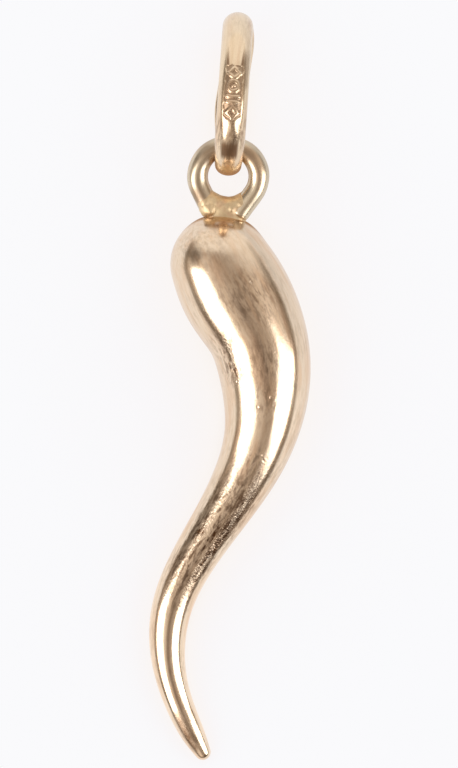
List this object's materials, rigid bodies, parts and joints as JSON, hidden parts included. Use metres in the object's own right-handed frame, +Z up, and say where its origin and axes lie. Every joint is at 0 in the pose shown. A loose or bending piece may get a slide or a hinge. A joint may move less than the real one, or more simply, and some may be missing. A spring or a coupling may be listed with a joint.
{
  "type": "cornicello horn pendant",
  "caption": "Small twisted horn charm in solid yellow gold, lying flat, with a soldered wire eyelet and a split jump ring for a chain.",
  "frame": {"origin": "on the table, under the middle of the part's box", "axes": "+Y along the pendant from the horn's tip to the jump ring, +X to the right of the face that shows, +Z up from the table"},
  "size_m": [0.0064, 0.03, 0.0066],
  "materials": {
    "polished_gold": "polished",
    "ring_gold": "polished"
  },
  "bodies": {
    "root": {"horn": "polished_gold", "jump_ring": "ring_gold"}
  },
  "joints": []
}
